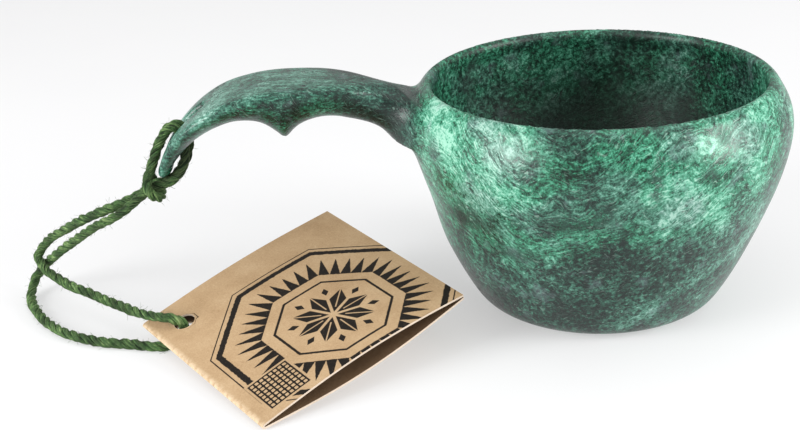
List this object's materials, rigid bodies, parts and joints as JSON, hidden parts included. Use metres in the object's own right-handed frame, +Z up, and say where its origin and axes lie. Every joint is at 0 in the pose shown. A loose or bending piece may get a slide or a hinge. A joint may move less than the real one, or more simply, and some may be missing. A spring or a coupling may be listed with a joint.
{
  "type": "kuksa cup",
  "caption": "Round drinking cup with an arched, slotted handle, a hitched loop of twisted cord and a folded card tag lying beside it.",
  "frame": {"origin": "centre of the bowl's foot, on the surface that the cup stands on", "axes": "+Z up through the bowl, -X along the handle, +Y to the handle's left as seen from the bowl"},
  "size_m": [0.1997, 0.1111, 0.0615],
  "materials": {
    "cup_composite": "marbled green wood-fibre composite, satin, with pale and dark swirls",
    "cord_twine": "twisted green plant-fibre twine, matt and hairy",
    "tag_kraft": "uncoated brown kraft card",
    "tag_kraft_front": "uncoated brown kraft card with a plain black ornament"
  },
  "bodies": {
    "cup": {"cup_body": "cup_composite", "cord_hitch": "cord_twine", "cord_loop": "cord_twine"},
    "tag": {"tag_back_leaf": "tag_kraft"},
    "tag_front": {"tag_front_leaf": "tag_kraft_front"}
  },
  "joints": [
    {"name": "tag_swivel", "type": "hinge", "parent": "cup", "child": "tag", "pos_m": [-0.1052, -0.0203, 0.0045], "axis": [0, 0, 1], "range_deg": [-40, 8]},
    {"name": "tag_open", "type": "hinge", "parent": "tag", "child": "tag_front", "pos_m": [-0.083, -0.0638, 0.00095], "axis": [0.5709, -0.8193, -0.0526], "range_deg": [0, 6]}
  ]
}
